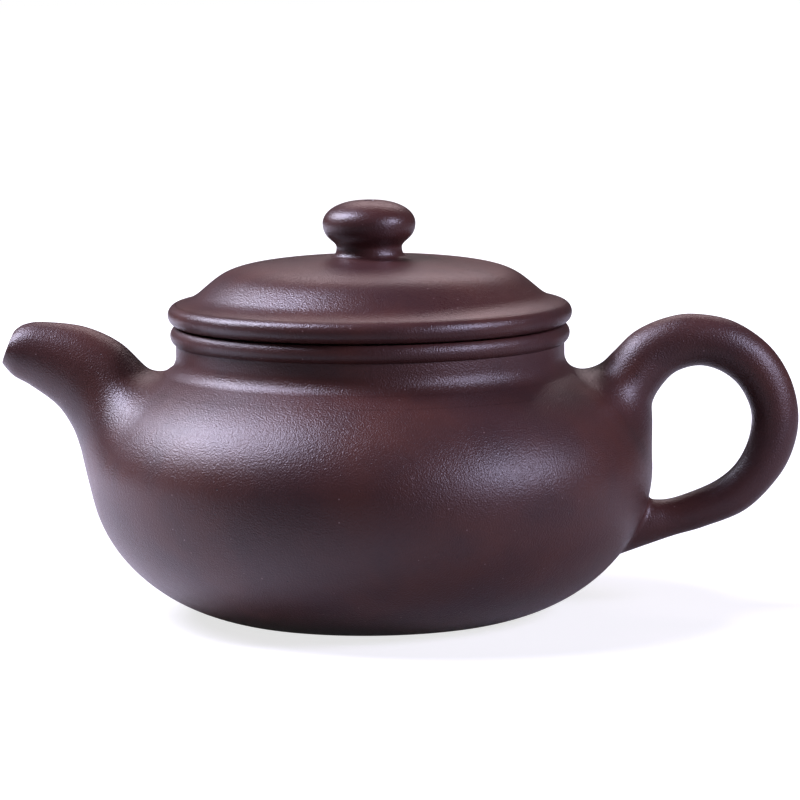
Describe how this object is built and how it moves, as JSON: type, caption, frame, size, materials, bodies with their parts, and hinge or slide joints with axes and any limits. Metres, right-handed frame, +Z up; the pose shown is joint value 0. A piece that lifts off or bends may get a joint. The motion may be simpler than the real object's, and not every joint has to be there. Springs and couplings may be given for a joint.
{
  "type": "round clay teapot",
  "caption": "Squat round teapot of unglazed purple-brown clay with a short curved spout, an ear-shaped handle and a pressed lid with a flattened round knob.",
  "frame": {"origin": "on the axis of the round pot, in the plane that its foot ring stands on", "axes": "+Z up along the axis of the round pot and its lid, +X towards the handle, -X towards the spout"},
  "size_m": [0.1547, 0.1094, 0.0801],
  "materials": {
    "clay_body": "fine-grained unglazed stoneware, satin from hand burnishing",
    "clay_lid": "fine-grained unglazed stoneware, satin from hand burnishing",
    "clay_inner": "unburnished unglazed stoneware, matte"
  },
  "bodies": {
    "pot": {"base_slab": "clay_body", "belly_wall": "clay_body", "shoulder_slab": "clay_body", "neck_ring": "clay_body", "mouth_bead": "clay_body", "spout": "clay_body", "strainer": "clay_inner", "handle": "clay_body"},
    "lid_seat": {"lid_tongue": "clay_inner"},
    "lid": {"lid_dome": "clay_lid", "lid_flange": "clay_lid", "knob": "clay_lid"}
  },
  "joints": [
    {"name": "lid_lift", "type": "slide", "parent": "pot", "child": "lid_seat", "axis": [0, 0, 1], "range_m": [0, 0.03]},
    {"name": "lid_turn", "type": "hinge", "parent": "lid_seat", "child": "lid", "pos_m": [0, 0, 0.06], "axis": [0, 0, 1], "continuous": true}
  ]
}
